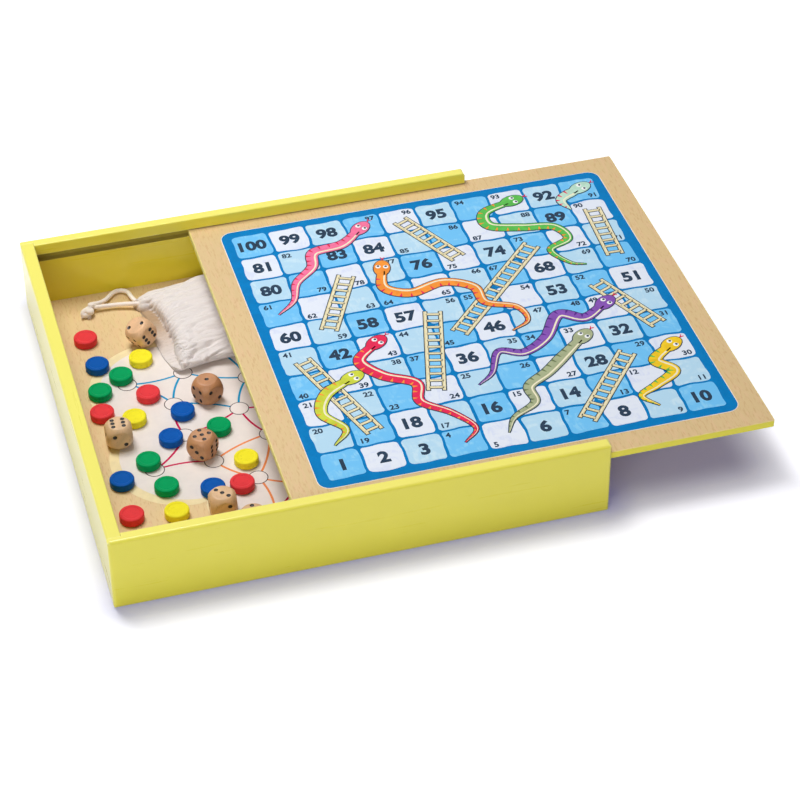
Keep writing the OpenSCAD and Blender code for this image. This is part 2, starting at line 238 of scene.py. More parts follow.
class Finish:
    """A material: one Principled shader, and the nodes that give it grain, worn edges and, in
    some, painted shade and painted highlights.
    """

    def __init__(self, name, **sockets):
        self.material = bpy.data.materials.new(name)
        self.material.use_nodes = True
        self.tree = self.material.node_tree
        self.shader = self.tree.nodes["Principled BSDF"]
        self.height = None
        place = self.tree.nodes.new("ShaderNodeTexCoord")
        self.place = place.outputs["Object"]
        for key, value in sockets.items():
            self.shader.inputs[key.replace("_", " ")].default_value = value

    def add(self, kind, inputs, **settings):
        """A node whose inputs are numbers, colours or other nodes' outputs."""
        made = self.tree.nodes.new("ShaderNode" + kind)
        for key, value in settings.items():
            setattr(made, key, value)
        for key, value in inputs.items():
            if isinstance(value, bpy.types.NodeSocket):
                self.tree.links.new(value, made.inputs[key])
            else:
                made.inputs[key].default_value = value
        return made

    def math(self, operation, a, b=0.0):
        return self.add("Math", {0: a, 1: b}, operation=operation).outputs[0]

    def times(self, product, *factors):
        for factor in factors:
            product = self.math("MULTIPLY", product, factor)
        return product

    def axes(self, vector):
        return self.add("SeparateXYZ", {"Vector": vector}).outputs

    def normal(self):
        return self.add("NewGeometry", {}).outputs["Normal"]

    def attribute(self, name):
        return self.add("Attribute", {}, attribute_name=name).outputs["Fac"]

    def noise(self, scale, detail=3.0, roughness=0.5, distortion=0.0, turn=0.0):
        """Noise with a number of features per metre, the same every way or one for each axis."""
        place = self.add("Mapping", {
            "Vector": self.place, "Rotation": (0, 0, turn),
            "Scale": scale if isinstance(scale, tuple) else (scale, scale, scale),
        }).outputs[0]
        return self.add("TexNoise", {
            "Vector": place, "Scale": 1.0, "Detail": detail, "Roughness": roughness,
            "Distortion": distortion,
        }).outputs["Fac"]

    def between(self, value, low, high):
        """0 below low, 1 above high, and smooth between."""
        return self.add("MapRange", {
            "Value": value, "From Min": low, "From Max": high,
        }, interpolation_type="SMOOTHSTEP").outputs[0]

    def past(self, value, start, end):
        """How far a value is past either end of a range; below 0 inside the range."""
        off = self.math("ABSOLUTE", self.math("SUBTRACT", value, (start + end) / 2))
        return self.math("SUBTRACT", off, (end - start) / 2)

    def within(self, value, low, high):
        """1 where a value is between two limits and 0 elsewhere."""
        return self.times(self.math("GREATER_THAN", value, low),
                          self.math("LESS_THAN", value, high))

    def mix(self, factor, a, b):
        """A mix of two colours. Inputs 6 and 7 and output 2 are the node's colour sockets."""
        return self.add("Mix", {0: factor, 6: a, 7: b}, data_type="RGBA").outputs[2]

    def tint(self, body, factor, share, colour):
        """The body's colour, moved toward another one by a share of the factor."""
        return self.mix(self.times(factor, share), body, colour)

    def feed(self, socket, value):
        self.tree.links.new(value, self.shader.inputs[socket])

    def colour(self, value):
        self.feed("Base Color", value)

    def roughness(self, factor, span, base):
        """A roughness that goes from base to base + span with the factor."""
        self.feed("Roughness", self.math("ADD", self.times(factor, span), base))

    def bump(self, height, depth, strength=1.0):
        """Adds relief of a depth in metres on top of any earlier relief."""
        inputs = {"Height": height, "Distance": depth, "Strength": strength}
        if self.height:
            inputs["Normal"] = self.height
        self.height = self.add("Bump", inputs).outputs[0]
        self.feed("Normal", self.height)


def painted_wood(name, colour, crest, rub_and_highlight, grain):
    """Satin paint on wood, with the grain telegraphing through it. The tops are painted a little
    paler, a painted sheen, and the edges paler still, as worn paint and a painted highlight. The
    lid's groove is darker and duller, a painted shade, and the inside of the walls deeper, also a
    painted shade."""
    paint = Finish(name, Roughness=0.3, Coat_Weight=0.25, Coat_Roughness=0.12)
    lines = paint.noise(grain, detail=4, roughness=0.6)
    flat = paint.normal()
    body = paint.mix(paint.noise(25, detail=2), shade(colour, 0.97), shade(colour, 1.02))
    body = paint.tint(body, lines, 0.03, shade(colour, 0.8))
    # Upward faces take the crest colour: a painted sheen on the tops.
    body = paint.mix(paint.between(paint.axes(flat)["Z"], 0.6, 0.95), body, crest)

    # Edges are tinted pale: partly worn paint, partly a painted highlight along the arrises.
    edge = paint.add("Bevel", {"Radius": 1.1 * MM}, samples=4).outputs[0]
    along = paint.add("VectorMath", {0: edge, 1: flat}, operation="DOT_PRODUCT").outputs["Value"]
    wear_and_highlight = paint.times(paint.between(along, 0.998, 0.9), paint.between(paint.noise(160), 0.3, 0.6))
    body = paint.tint(body, wear_and_highlight, rub_and_highlight, srgb(252, 247, 170))

    x, y, z = paint.axes(paint.place)
    y = paint.math("ABSOLUTE", y)
    hair, depth = 0.05 * MM, GROOVE_D * MM
    wall_x, wall_y = INNER_X * MM + hair, INNER_Y * MM + hair
    bottom, top = GROOVE_Z[0] * MM - hair, GROOVE_Z[1] * MM + hair
    # The groove is tinted darker and duller: a painted shade under the lid's lip.
    groove = paint.times(
        paint.math("MAXIMUM", paint.math("GREATER_THAN", y, wall_y),
                   paint.math("LESS_THAN", x, -wall_x)),
        paint.math("LESS_THAN", y, wall_y + depth),
        paint.math("GREATER_THAN", x, -wall_x - depth),
        paint.within(z, bottom, top),
    )
    # The inside faces below the groove are tinted deeper: a painted shade.
    inside = paint.times(paint.within(x, -wall_x, wall_x), paint.math("LESS_THAN", y, wall_y),
                         paint.math("LESS_THAN", z, bottom))
    body = paint.tint(body, inside, 0.7, srgb(236, 218, 52))
    paint.colour(paint.tint(body, groove, 0.8, srgb(168, 148, 66)))
    paint.roughness(lines, 0.04, 0.26)
    paint.bump(lines, 0.004 * MM, 0.2)
    paint.bump(paint.noise(1400, detail=2), 0.02 * MM, 0.35)
    return paint.material


def beech(name, base):
    """Beech veneer under matt lacquer."""
    wood = Finish(name, Roughness=0.5)
    wood.colour(beech_grain(wood, base))
    return wood.material


def beech_grain(wood, base):
    """Gives a finish beech's relief, and returns its colour, with short dark flecks."""
    broad = wood.noise((30, 5, 30))
    fibre = wood.noise(FIBRE, detail=4, roughness=0.65)
    flecks = wood.noise((1050, 190, 1050), detail=2, roughness=0.6)
    blush = wood.between(wood.noise((330, 80, 330), detail=2), 0.48, 0.66)
    body = wood.mix(wood.between(broad, 0.3, 0.7), shade(base, 0.97), shade(base, 1.02))
    body = wood.tint(body, blush, 0.3, srgb(232, 188, 150))
    body = wood.tint(body, fibre, 0.22, shade(base, 0.72))
    wood.roughness(fibre, 0.2, 0.4)
    wood.bump(fibre, 0.03 * MM, 0.5)
    return wood.tint(body, wood.between(flecks, 0.53, 0.68), 0.42, srgb(196, 150, 98))


def lid_finish(edge_colour):
    """Beech faces and painted edges, told apart by which way the surface faces. The edges facing
    left are paler, a painted highlight.
    """
    wood = Finish("lid_beech_and_paint", Roughness=0.5)
    body = beech_grain(wood, srgb(221, 191, 139))
    faces = wood.axes(wood.normal())
    # Edges facing left get a paler yellow: a painted highlight.
    edge = wood.mix(wood.between(faces["X"], -0.3, -0.7), edge_colour, srgb(246, 238, 158))
    edge = wood.tint(edge, wood.noise((200, 200, 900)), 0.3, shade(edge_colour, 0.85))
    # The edges' paint spills a little way over the faces.
    low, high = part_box("lid_panel")
    spot = wood.axes(wood.place)
    past = wood.math("MAXIMUM", wood.past(spot["X"], low.x, high.x),
                     wood.past(spot["Y"], low.y, high.y))
    past = wood.math("ADD", past, wood.times(wood.noise(300), 1.2 * MM))
    body = wood.tint(body, wood.between(past, -0.2 * MM, 0.2 * MM), 0.5, srgb(236, 224, 130))
    upright = wood.math("ABSOLUTE", faces["Z"])
    wood.colour(wood.mix(wood.between(upright, 0.5, 0.85), edge, body))
    return wood.material


def new_ink(name):
    return Finish("ink_" + name, Roughness=0.5, Specular_IOR_Level=0.07)


def printed_ink(name, rgb, mottle=0.05):
    """Flat printing ink, faintly mottled, with the wood's grain showing through as relief."""
    ink, colour = new_ink(name), srgb(*rgb)
    cloud = ink.noise(190, roughness=0.6)
    fibre = ink.noise(FIBRE, roughness=0.6)
    body = ink.mix(ink.between(cloud, 0.3, 0.7), shade(colour, 1 - mottle),
                   shade(colour, 1 + mottle))
    ink.colour(ink.tint(body, fibre, 0.06, shade(colour, 0.7)))
    ink.roughness(cloud, 0.12, 0.34)
    ink.bump(fibre, 0.015 * MM, 0.4)
    return ink.material


def watercolour_ink(name, rgb, pale_rgb):
    """The board's squares: soft brush streaks of a paler tint in the ink."""
    ink = new_ink(name)
    wash = ink.noise((75, 110, 75), detail=2, distortion=1.2, turn=0.5)
    streak = ink.noise((420, 130, 420), detail=2, distortion=0.8, turn=0.4)
    factor = ink.times(ink.between(wash, 0.45, 0.65), ink.between(streak, 0.35, 0.6))
    ink.colour(ink.tint(srgb(*rgb), factor, 0.75, srgb(*pale_rgb)))
    ink.roughness(streak, 0.1, 0.35)
    ink.bump(ink.noise(FIBRE), 0.015 * MM, 0.4)
    return ink.material


def turned_counter(name, rgb):
    """Glossy, slightly uneven paint with a few dark specks on a turned wooden disc."""
    paint, colour = Finish(name, Roughness=0.3, Specular_IOR_Level=0.05), srgb(*rgb)
    cloud = paint.noise(260)
    specks = paint.between(paint.noise(700, detail=1), 0.66, 0.72)
    body = paint.mix(cloud, shade(colour, 0.90), shade(colour, 1.08))
    paint.colour(paint.tint(body, specks, 0.35, shade(colour, 0.6)))
    paint.roughness(cloud, 0.2, 0.26)
    paint.bump(paint.noise((900, 500, 900), roughness=0.6), 0.04 * MM, 0.4)
    return paint.material


def die_wood(name, rgb, seed):
    """Bare varnished wood with curved growth rings; the sunk pips are painted black."""
    wood, base = Finish(name, Roughness=0.45), srgb(*rgb)
    place = wood.add("Mapping", {
        "Vector": wood.place, "Location": (0.013 * seed, 0.007 * seed, 0.02),
        "Rotation": (0.4 * seed, 0.3 + 0.2 * seed, 0.5 * seed),
    }).outputs[0]
    rings = wood.add("TexWave", {
        "Vector": place, "Scale": 55, "Distortion": 3.5, "Detail": 2, "Detail Scale": 1.5,
    }, wave_type="RINGS", rings_direction="Y").outputs["Fac"]
    fibre = wood.noise((900, 900, 220), roughness=0.6, turn=0.3 * seed)
    pores = wood.between(wood.noise((1300, 1300, 420), detail=1), 0.62, 0.7)
    body = wood.tint(base, rings, 0.38, shade(base, 0.66))
    body = wood.tint(body, fibre, 0.3, shade(base, 0.75))
    body = wood.tint(body, pores, 0.4, shade(base, 0.5))
    black = wood.between(wood.attribute("pip"), PIP_RIM_R + 0.06, PIP_RIM_R - 0.1)
    wood.colour(wood.mix(black, body, srgb(28, 22, 20)))
    wood.roughness(fibre, 0.2, 0.34)
    wood.bump(fibre, 0.04 * MM, 0.5)
    return wood.material


def cotton_cloth():
    """Sheer white muslin: a fine weave, slubs in the thread and a soft sheen. The hem is tinted
    darker
    and warmer: painted shade, with the floor's colour painted in as if seen through the single
    layer.
    """
    cloth = Finish("pouch_muslin", Roughness=0.9, Sheen_Weight=0.25, Sheen_Roughness=0.5,
                   Subsurface_Weight=0.08, Subsurface_Scale=1.2 * MM,
                   Subsurface_Radius=(1, 0.9, 0.8))
    warp, weft = [cloth.add("TexWave", {
        "Vector": cloth.place, "Scale": 700, "Distortion": 2.5, "Detail": 2,
    }, wave_type="BANDS", bands_direction=way).outputs["Fac"] for way in "XY"]
    slub = cloth.noise((70, 600, 300), roughness=0.6)
    weave = cloth.times(warp, weft)
    body = cloth.mix(weave, srgb(224, 216, 214), srgb(237, 231, 230))
    body = cloth.mix(cloth.between(slub, 0.5, 0.75), body, srgb(214, 206, 202))
    # The hem attribute tints the cloth tan: painted shade, and the floor's colour painted in where
    # the single layer would show it.
    cloth.colour(cloth.tint(body, cloth.attribute("hem"), 0.88, srgb(176, 141, 99)))
    cloth.bump(slub, 0.12 * MM, 0.5)
    cloth.bump(weave, 0.06 * MM, 0.6)
    return cloth.material


def cotton_cord():
    cord = Finish("cord_cotton_twist", Roughness=0.85, Sheen_Weight=0.3, Subsurface_Weight=0.2,
                  Subsurface_Scale=1.0 * MM, Subsurface_Radius=(1, 0.9, 0.85))
    fluff = cord.noise(1600, roughness=0.7)
    body = cord.mix(fluff, srgb(240, 228, 219), srgb(254, 246, 242))
    cord.colour(cord.tint(body, cord.noise(220, detail=2), 0.3, srgb(238, 222, 208)))
    cord.bump(fluff, 0.12 * MM, 0.7)
    return cord.material


# ---- making pieces ----

def new_piece(name, vertices, faces, materials, body, face_materials=None, smooth=True):
    """A mesh piece in the row frame that rides on a CAD body. Vertices are in metres."""
    mesh = bpy.data.meshes.new(name)
    mesh.from_pydata([tuple(v) for v in vertices], [], faces)
    for material in materials:
        mesh.materials.append(material)
    for i, face in enumerate(mesh.polygons):
        face.use_smooth = smooth
        if face_materials:
            face.material_index = face_materials[i]
    mesh.update()
    piece = bpy.data.objects.new(name, mesh)
    bpy.context.scene.collection.objects.link(piece)
    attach(piece, body)
    return piece


def keep_values(piece, name, values):
    """Keeps a number for each vertex, which the piece's material reads."""
    piece.data.attributes.new(name, "FLOAT", "POINT").data.foreach_set("value", values)


def skin(rings, sides):
    """The faces of a tube that is closed at both ends, of rings with a number of sides."""
    faces = [tuple(reversed(range(sides))), tuple(range((rings - 1) * sides, rings * sides))]
    for start in range(0, (rings - 1) * sides, sides):
        for k in range(sides):
            a, b = start + k, start + (k + 1) % sides
            faces.append((a, b, b + sides, a + sides))
    return faces


def smooth_route(points, steps, closed=False):
    """A smooth line through points, with a number of steps between each two of them."""
    points = [Vector(p) for p in points]
    if closed:
        points = [points[-1], *points, points[0], points[1]]
    else:
        points = [points[0] * 2 - points[1], *points, points[-1] * 2 - points[-2]]
    line = []
    for before, a, b, after in zip(points, points[1:], points[2:], points[3:]):
        for k in range(steps):
            t = k / steps
            line.append(0.5 * (2 * a + (b - before) * t
                               + (2 * before - 5 * a + 4 * b - after) * t ** 2
                               + (3 * a - before - 3 * b + after) * t ** 3))
    return line if closed else line + [points[-2]]


def left_of(way):
    return Vector((-way.y, way.x))


def circle(count):
    """The cosine and sine of each of a number of equal turns."""
    turns = [2 * math.pi * k / count for k in range(count)]
    return [(math.cos(a), math.sin(a)) for a in turns]


def twisted_rope(line, radius, pitch, sides=18):
    """Vertices and faces of a cord of three twisted strands along a line."""
    vertices, travelled = [], 0.0
    side = Vector((0, 0, 1)).cross(line[1] - line[0]).normalized()
    for i, centre in enumerate(line):
        ahead = (line[min(i + 1, len(line) - 1)] - line[max(i - 1, 0)]).normalized()
        side = (side - ahead * side.dot(ahead)).normalized()
        up = ahead.cross(side)
        if i:
            travelled += (centre - line[i - 1]).length
        for k in range(sides):
            turn = 2 * math.pi * k / sides
            lobe = abs(math.cos(1.5 * (turn - 2 * math.pi * travelled / pitch)))
            reach = radius * (0.94 + 0.08 * lobe)
            vertices.append(centre + reach * (math.cos(turn) * side + math.sin(turn) * up))
    return vertices, skin(len(line), sides)


# ---- camera, floor and light ----

def add_camera():
    data = bpy.data.cameras.new("camera")
    data.sensor_width, data.lens = CAMERA_SENSOR, CAMERA_LENS
    data.clip_start, data.clip_end = CAMERA_CLIP
    camera = bpy.data.objects.new("camera", data)
    aim = Euler((math.pi / 2 - CAMERA_TILT, 0, CAMERA_TURN)).to_matrix().to_4x4()
    aim = Matrix.Translation(CAMERA_TARGET) @ aim @ Matrix.Rotation(CAMERA_ROLL, 4, "Z")
    camera.matrix_world = aim @ Matrix.Translation((0, 0, CAMERA_DISTANCE))
    bpy.context.scene.collection.objects.link(camera)
    bpy.context.scene.camera = camera


def add_studio():
    """White surroundings, two soft lamps and a pale floor."""
    scene = bpy.context.scene
    scene.view_settings.view_transform = "Standard"
    world = bpy.data.worlds.new("studio")
    world.use_nodes = True
    nodes, links = world.node_tree.nodes, world.node_tree.links
    background = nodes["Background"]
    background.inputs["Color"].default_value = WHITE
    # The surroundings look white, and light the scene less than that.
    rays = nodes.new("ShaderNodeLightPath")
    seen = nodes.new("ShaderNodeMath")
    seen.operation = "MAXIMUM"
    links.new(rays.outputs["Is Camera Ray"], seen.inputs[0])
    links.new(rays.outputs["Is Glossy Ray"], seen.inputs[1])
    strength = nodes.new("ShaderNodeMapRange")
    links.new(seen.outputs[0], strength.inputs["Value"])
    strength.inputs["To Min"].default_value = SKY_STRENGTH
    links.new(strength.outputs[0], background.inputs["Strength"])
    scene.world = world
    add_softbox("overhead_softbox", LAMP_PLACE, LAMP_SIZE, LAMP_POWER)
    add_softbox("front_fill", FILL_PLACE, FILL_SIZE, FILL_POWER)
    add_floor()


def add_floor():
    """A pale floor, painted darker near the box and under the lid as a painted shadow, and tinted
    bluish there where the camera sees it. Seen directly, it turns to plain white with distance
    from the box.
    """
    ground = Finish("studio_floor", Roughness=0.9, Specular_IOR_Level=0.0)
    spot = ground.axes(ground.place)
    by_lid = ground.between(spot["X"], *FLOOR_LID_BEGINS)
    past_x = ground.past(spot["X"], *FLOOR_UNDER_X)
    past_y = ground.math("ADD", ground.past(spot["Y"], *FLOOR_UNDER_Y),
                         ground.times(by_lid, FLOOR_UNDER_LID))
    squares = [ground.math("POWER", ground.math("MAXIMUM", past, 0.0), 2.0)
               for past in (past_x, past_y)]
    distance = ground.math("SQRT", ground.math("ADD", *squares))
    # Near the outline the floor gets its darker tones and little lift: the painted shadow.
    away = ground.between(distance, 0.0, FLOOR_SHADOW_REACH)
    near = ground.mix(ground.noise(3, detail=2), *FLOOR_SHADOW_TONES)
    ground.colour(ground.mix(away, near, FLOOR_FAR_TONE))

    # In front of the box, away from the lid, the shadow's painted blue tint is stronger.
    in_front = ground.between(spot["Y"], *FLOOR_FRONT_BEGINS)
    lift = ground.mix(in_front, FLOOR_SHADOW_TINT, FLOOR_FRONT_SHADOW_TINT)
    lift = ground.mix(by_lid, lift, FLOOR_SHADOW_TINT)
    lift = ground.mix(away, lift, FLOOR_FAR_LIFT)
    ground.feed("Emission Color",
                ground.mix(ground.between(distance, *FLOOR_BACKDROP), lift, WHITE))
    rays = ground.add("LightPath", {}).outputs
    ground.feed("Emission Strength",
                ground.math("MAXIMUM", rays["Is Camera Ray"], rays["Is Glossy Ray"]))
    mesh = bpy.data.meshes.new("studio_floor")
    mesh.from_pydata([(x * FLOOR_HALF, y * FLOOR_HALF, 0)
                      for x, y in ((-1, -1), (1, -1), (1, 1), (-1, 1))], [], [(0, 1, 2, 3)])
    mesh.materials.append(ground.material)
    floor = bpy.data.objects.new("studio_floor", mesh)
    floor.location.z = FLOOR_Z
    bpy.context.scene.collection.objects.link(floor)


def add_softbox(name, place, size, power):
    """A soft rectangular lamp aimed at the box."""
    lamp = bpy.data.lights.new(name, "AREA")
    lamp.shape, lamp.size, lamp.size_y = "RECTANGLE", *size
    lamp.energy = power
    softbox = bpy.data.objects.new(name, lamp)
    softbox.location = place
    softbox.rotation_euler = (-Vector(place)).to_track_quat("-Z", "Y").to_euler()
    bpy.context.scene.collection.objects.link(softbox)


# ---- drawstring ----

def add_drawstring():
    cotton = cotton_cord()
    strands = []
    for name, route in (("drawstring_arc", ARC_ROUTE), ("drawstring_straight", STRAIGHT_ROUTE)):
        line = smooth_route([Vector(p) * MM for p in route], 6)
        vertices, faces = twisted_rope(line, CORD_D / 2, CORD_PITCH)
        strand = new_piece(name + "_twist", vertices, faces, [cotton], "case")
        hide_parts(name)
        strands.append((strand, line))
    knot = add_knot(cotton)
    for (strand, line), with_pieces in zip(strands, ([knot], [])):
        length = sum((b - a).length for a, b in zip(line, line[1:]))
        tuple(line[0])
        [tuple(p) for p in line]
        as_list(with_pieces)


def random_vector():
    return Vector([random.uniform(-1, 1) for _ in range(3)])


def add_knot(cotton):
    """An overhand knot pulled tight on both strands, and their two frayed tails."""
    vertices, faces = [], []

    def rope(points, steps, radius, pitch=CORD_PITCH, sides=14, closed=False):
        line = smooth_route([p * MM for p in points], steps, closed)
        made, skin_faces = twisted_rope(line + line[:1] if closed else line, radius * MM, pitch,
                                        sides)
        start = len(vertices)
        vertices.extend(made)
        faces.extend(tuple(i + start for i in face) for face in skin_faces)

    axis = (Vector(KNOT_WRAPS[-1][0]) - Vector(KNOT_WRAPS[0][0])).normalized()
    up = Vector((0, 0, 1))
    for centre, reach, thick, (turn, tilt) in KNOT_WRAPS:
        across = (axis.cross(up).normalized() + axis * turn).normalized()
        upright = (up + axis * tilt).normalized()
        rope([Vector(centre) + reach * (cos * across + sin * upright)
              for cos, sin in circle(WRAP_POINTS)], 3, thick, closed=True)
    for start, bearing, reach in KNOT_TAILS:
        bearing = math.radians(bearing)
        way = Vector((math.cos(bearing), math.sin(bearing), 0))
        root = Vector((*start, TAIL_Z))
        tip = root + way * reach - Vector((0, 0, TAIL_DROP))
        rope((root, (root + tip) / 2, tip), 5, TAIL_R)
        for _ in range(FRAY_THREADS):
            spread = random_vector()
            base = tip + 0.7 * spread - way * 0.4
            end = tip + way * random.uniform(*FRAY_LENGTH) + 1.1 * spread
            end.z = max(end.z, FRAY_LOWEST)
            rope((base, (base + end) / 2 + 0.2 * random_vector(), end), 2, FRAY_R,
                 FRAY_PITCH * MM, sides=5)
    knot = new_piece("drawstring_overhand_knot", vertices, faces, [cotton], "case")
    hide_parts("drawstring_knot")
    return knot


# ---- dice ----

def turned(degrees):
    return Euler([math.radians(d) for d in degrees], "XYZ").to_matrix()


def die_shape():
    """A cube with its corners turned off by a ball and its pips sunk, centred on the origin.
    Also gives each vertex its distance in millimetres from the nearest pip's middle."""
    half, ball = DIE_S / 2, DIE_BALL_D / 2
    found, vertices, faces, pip_distance = {}, [], [], []
    for number, rotation in FACES.items():
        face_turn = turned(rotation)
        grid = []
        for i in range(DIE_GRID + 1):
            row = []
            for j in range(DIE_GRID + 1):
                flat = Vector((2 * i / DIE_GRID - 1, 2 * j / DIE_GRID - 1, 1)) * half
                reach = (flat.length ** -DIE_BLEND + ball ** -DIE_BLEND) ** (-1 / DIE_BLEND)
                point = flat.normalized() * reach
                away = min(math.hypot(flat.x - px * PIP_OFFSET, flat.y - py * PIP_OFFSET)
                           for px, py in PIPS[number])
                if away < PIP_RIM_R:
                    point.z -= math.sqrt(PIP_BALL_R ** 2 - away ** 2) - (PIP_BALL_R - PIP_DEPTH)
                point = face_turn @ point
                key = tuple(round(c, 3) for c in point)
                if key not in found:
                    found[key] = len(vertices)
                    vertices.append(point)
                    pip_distance.append(away)
                row.append(found[key])
            grid.append(row)
        faces += [(here[j], there[j], there[j + 1], here[j + 1])
                  for here, there in zip(grid, grid[1:]) for j in range(DIE_GRID)]
    return vertices, faces, pip_distance


def add_dice():
    vertices, faces, pip_distance = die_shape()
    for number, (name, (face_up, lean)) in enumerate(DICE.items(), 1):
        low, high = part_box(name)
        centre = (low + high) / 2
        lie = turned(lean) @ turned(face_up)
        wood = die_wood(name + "_beech", DIE_TONES[number - 1], number)
        die = new_piece(name + "_turned", [centre + lie @ v * MM for v in vertices], faces,
                        [wood], name)
        keep_values(die, "pip", pip_distance)
        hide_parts(name)


# ---- printing ----

class Print:
    """Thin layers of ink on a flat panel: closed plates that stand a few hundredths proud."""

    def __init__(self, name, surface, layer_t, inks):
        self.name, self.surface, self.layer_t = name, surface, layer_t
        self.inks = list(inks)
        self.materials = [inks[key] for key in self.inks]
        self.vertices, self.faces, self.used = [], [], []

    def heights(self, layer):
        return self.surface - 0.5 * self.layer_t, self.surface + layer * self.layer_t

    def put(self, vertices, faces, ink):
        start = len(self.vertices)
        self.vertices.extend(vertices)
        self.faces.extend(tuple(i + start for i in face) for face in faces)
        self.used.extend([self.inks.index(ink)] * len(faces))

    def plate(self, outline, layer, ink):
        """A flat shape, its outline given counterclockwise in millimetres."""
        vertices = [(p[0], p[1], z) for z in self.heights(layer) for p in outline]
        self.put(vertices, skin(2, len(outline)), ink)

    def ribbon(self, line, widths, layer, ink):
        """A line whose width changes along it."""
        low, high = self.heights(layer)
        vertices = []
        for i, p in enumerate(line):
            along = (line[min(i + 1, len(line) - 1)] - line[max(i - 1, 0)]).normalized()
            across = left_of(along) * widths[i] / 2
            right, left = p - across, p + across
            vertices += [(*right, low), (*left, low), (*left, high), (*right, high)]
        self.put(vertices, skin(len(line), 4), ink)

    def disc(self, centre, across, along, turn, layer, ink, sides=36):
        """An ellipse of two half widths, turned by an angle in radians."""
        ahead = Vector((math.cos(turn), math.sin(turn)))
        self.plate([centre + ahead * across * cos + left_of(ahead) * along * sin
                    for cos, sin in circle(sides)], layer, ink)

    def number(self, text, centre, height, bold, layer, ink):
        """A plain number, drawn with Blender's own letterforms and made heavier."""
        low, high = self.heights(layer)
        drawn = bpy.data.curves.new("number", "FONT")
        drawn.body, drawn.align_x, drawn.align_y = str(text), "CENTER", "CENTER"
        drawn.size = height / DIGIT_HEIGHT
        drawn.offset, drawn.extrude = bold * height, (high - low) / 2
        drawn.resolution_u, drawn.space_character = 5, 1.02
        holder = bpy.data.objects.new("number", drawn)
        mesh = bpy.data.meshes.new_from_object(holder)
        xs = [v.co.x for v in mesh.vertices]
        ys = [v.co.y for v in mesh.vertices]
        shift = Vector((centre[0] - (min(xs) + max(xs)) / 2, centre[1] - (min(ys) + max(ys)) / 2,
                        (low + high) / 2))
        self.put([tuple(v.co + shift) for v in mesh.vertices],
                 [tuple(face.vertices) for face in mesh.polygons], ink)
        bpy.data.meshes.remove(mesh)
        bpy.data.objects.remove(holder)
        bpy.data.curves.remove(drawn)

    def done(self, body, slot):
        return new_piece(self.name, [Vector(v) * MM for v in self.vertices], self.faces,
                         self.materials, body, face_materials=self.used, smooth=False)


def rounded_rectangle(x0, y0, x1, y1, r, steps=6, wobble=0.0):
    outline = []
    for cx, cy, begin in ((x1 - r, y0 + r, -90), (x1 - r, y1 - r, 0), (x0 + r, y1 - r, 90),
                          (x0 + r, y0 + r, 180)):
        for k in range(steps + 1):
            a = math.radians(begin + 90 * k / steps)
            outline.append(Vector((cx + r * math.cos(a), cy + r * math.sin(a))))
    if not wobble:
        return outline
    finer = []
    for i, p in enumerate(outline):
        on = outline[(i + 1) % len(outline)]
        count = max(1, round((on - p).length / 3))
        finer += [p.lerp(on, k / count) for k in range(count)]
    return [p + wobble * noise.noise_vector(Vector((p.x, p.y, 3)) * 0.11).xy for p in finer]


def flat_route(points, steps):
    return [p.xy for p in smooth_route([Vector((*p, 0)) for p in points], steps)]


# ---- the lid's game board ----

def add_board():
    low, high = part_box("lid_panel")
    left, right = low.x / MM + BOARD_MARGIN["left"], high.x / MM - BOARD_MARGIN["right"]
    front, back = low.y / MM + BOARD_MARGIN["front"], high.y / MM - BOARD_MARGIN["back"]
    cell_w = (right - left - 2 * BOARD_BORDER) / BOARD_CELLS
    cell_d = (back - front - 2 * BOARD_BORDER) / BOARD_CELLS

    def at(column, row):
        return Vector((left + BOARD_BORDER + column * cell_w,
                       front + BOARD_BORDER + row * cell_d))

    inks = {
        "rim": printed_ink("board_rim", (250, 238, 222)),
        "border": printed_ink("board_border", (0, 124, 192), 0.06),
        "white": watercolour_ink("square_white", (230, 236, 248), (214, 222, 246)),
        "light": watercolour_ink("square_light", (184, 220, 242), (206, 232, 246)),
        "blue": watercolour_ink("square_blue", (116, 196, 246), (150, 214, 250)),
        "navy": printed_ink("navy", NAVY, 0.12),
        "ladder": printed_ink("ladder", (232, 218, 172), 0.06),
        "ladder_light": printed_ink("ladder_light", (244, 236, 204), 0.04),
        "eye": printed_ink("eye_white", (250, 250, 250), 0.02),
    }
    for name, tint in TINTS.items():
        inks[name] = printed_ink("snake_" + name, tint, 0.1)

    def printing(name):
        return Print(name, high.z / MM, INK_T, inks)

    ground = printing("lid_print_border")
    ground.plate(rounded_rectangle(left - BOARD_RIM, front - BOARD_RIM, right + BOARD_RIM,
                                   back + BOARD_RIM, BOARD_CORNER_R + BOARD_RIM), 1, "rim")
    ground.plate(rounded_rectangle(left, front, right, back, BOARD_CORNER_R), 2, "border")

    # Each ladder and snake as a line and the room that it takes on either side.
    paths = [([at(*a), at(*b)], LADDER_GAP / 2 + 1.5) for a, b in LADDERS]
    paths += [(flat_route([at(*p) for p in way], SNAKE_LENGTH_STEPS), SNAKE_WIDTH / 2)
              for _, _, way in SNAKES]
    squares, numbers = printing("lid_print_squares"), printing("lid_print_numbers")
    gap = CELL_GAP / 2
    for row in range(BOARD_CELLS):
        for column in range(BOARD_CELLS):
            corner, far = at(column, row), at(column + 1, row + 1)
            outline = rounded_rectangle(corner.x + gap, corner.y + gap, far.x - gap, far.y - gap,
                                        CELL_CORNER_R, wobble=CELL_WOBBLE)
            squares.plate(outline, 3, ("blue", "white", "light")[(column + 2 * row) % 3])
            step = column if row % 2 == 0 else BOARD_CELLS - 1 - column
            write_number(numbers, row * BOARD_CELLS + step + 1, corner, far, paths)
    ladders, snakes = printing("lid_print_ladders"), printing("lid_print_snakes")
    draw_ladders(ladders, at)
    draw_snakes(snakes, at)
    for layer in (ground, squares, numbers, ladders, snakes):
        layer.done("lid", "printed_beech_lid")


def distance_to_path(p, line):
    best = 1e9
    for a, b in zip(line, line[1:]):
        t = max(0.0, min(1.0, (p - a).dot(b - a) / max((b - a).length_squared, 1e-9)))
        best = min(best, (p - a.lerp(b, t)).length)
    return best


